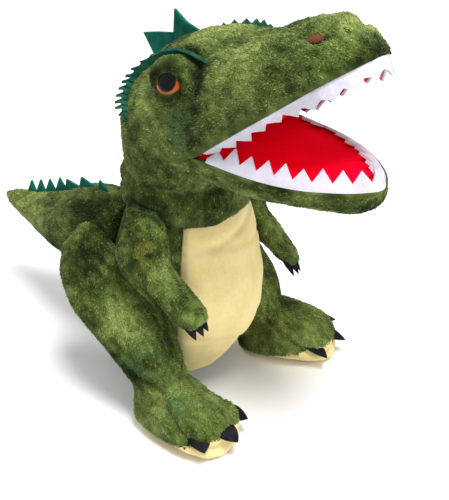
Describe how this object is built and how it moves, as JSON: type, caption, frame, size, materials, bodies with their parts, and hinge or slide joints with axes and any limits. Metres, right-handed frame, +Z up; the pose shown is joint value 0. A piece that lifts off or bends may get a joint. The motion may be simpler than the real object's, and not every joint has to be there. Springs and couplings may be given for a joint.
{
  "type": "moving mouth puppet",
  "caption": "Stuffed plush dinosaur hand puppet with a hinged felt-toothed mouth, swinging arms and legs, a tail and an open hem for the hand.",
  "frame": {"origin": "centre of the hem band's lower edge, where the hand goes in", "axes": "+Z up, -Y the way the puppet faces, +X its left side"},
  "size_m": [0.1615, 0.2866, 0.248],
  "materials": {
    "green_plush": "short-pile plush, tie-dyed in olive, yellow-green and dark green",
    "cream_velour": "short brushed velour",
    "red_fleece": "smooth fleece",
    "white_felt": "pressed felt",
    "green_felt": "pressed felt",
    "black_felt": "pressed felt",
    "brown_felt": "pressed felt",
    "lining_cloth": "plain woven cloth",
    "fibre_fill": "loose polyester fibre",
    "board": "smooth",
    "eye": "gloss, amber iris round a black pupil",
    "washer": "smooth"
  },
  "bodies": {
    "torso": {"torso_plush": "green_plush", "belly_panel": "cream_velour", "torso_lining": "lining_cloth", "hem_band": "cream_velour", "back_crest": "green_felt"},
    "neck": {"neck_sleeve": "lining_cloth"},
    "head": {"head_plush": "green_plush", "head_stuffing": "fibre_fill", "finger_pocket": "lining_cloth", "upper_mouth_board": "board", "upper_mouth_lining": "red_fleece", "upper_teeth": "white_felt", "eye_left": "eye", "eye_right": "eye", "eye_washers": "washer", "nostril_left": "brown_felt", "nostril_right": "brown_felt", "brow_left": "green_felt", "brow_right": "green_felt", "spike_front": "green_felt", "spike_rear": "green_felt"},
    "jaw": {"jaw_plush": "green_plush", "jaw_stuffing": "fibre_fill", "thumb_pocket": "lining_cloth", "lower_mouth_board": "board", "lower_mouth_lining": "red_fleece", "lower_teeth": "white_felt"},
    "tail": {"tail_plush": "green_plush", "tail_stuffing": "fibre_fill", "tail_crest": "green_felt"},
    "arm_left": {"arm_left": "green_plush", "arm_stuffing_left": "fibre_fill", "hand_claws_left": "black_felt"},
    "leg_left": {"leg_left": "green_plush", "leg_stuffing_left": "fibre_fill", "sole_left": "cream_velour", "foot_claws_left": "black_felt"},
    "arm_right": {"arm_right": "green_plush", "arm_stuffing_right": "fibre_fill", "hand_claws_right": "black_felt"},
    "leg_right": {"leg_right": "green_plush", "leg_stuffing_right": "fibre_fill", "sole_right": "cream_velour", "foot_claws_right": "black_felt"}
  },
  "joints": [
    {"name": "head_turn", "type": "hinge", "parent": "torso", "child": "neck", "pos_m": [0, -0.012, 0.12], "axis": [0, 0, 1], "range_deg": [-30, 30], "stiffness_Nm_per_rad": 0.15},
    {"name": "head_nod", "type": "hinge", "parent": "neck", "child": "head", "pos_m": [0, -0.012, 0.12], "axis": [0.9945, -0.1045, 0], "range_deg": [-14, 14], "stiffness_Nm_per_rad": 2},
    {"name": "mouth", "type": "hinge", "parent": "head", "child": "jaw", "pos_m": [-0.00439, -0.05377, 0.156], "axis": [0.9945, -0.1045, 0], "range_deg": [-36, 12], "stiffness_Nm_per_rad": 0.6, "deforming": ["lower_teeth", "upper_teeth"]},
    {"name": "shoulder_left", "type": "hinge", "parent": "torso", "child": "arm_left", "pos_m": [0.041, -0.012, 0.103], "axis": [1, 0, 0], "range_deg": [-70, 0]},
    {"name": "hip_left", "type": "hinge", "parent": "torso", "child": "leg_left", "pos_m": [0.04, 0.021, 0.059], "axis": [1, 0, 0], "range_deg": [-6, 15], "stiffness_Nm_per_rad": 3},
    {"name": "shoulder_right", "type": "hinge", "parent": "torso", "child": "arm_right", "pos_m": [-0.041, -0.012, 0.103], "axis": [1, 0, 0], "range_deg": [-70, 0]},
    {"name": "hip_right", "type": "hinge", "parent": "torso", "child": "leg_right", "pos_m": [-0.04, 0.021, 0.059], "axis": [1, 0, 0], "range_deg": [-6, 15], "stiffness_Nm_per_rad": 3},
    {"name": "tail_wag", "type": "hinge", "parent": "torso", "child": "tail", "pos_m": [0, 0.064, 0.059], "axis": [0, 0, 1], "range_deg": [-25, 25], "stiffness_Nm_per_rad": 0.3}
  ]
}
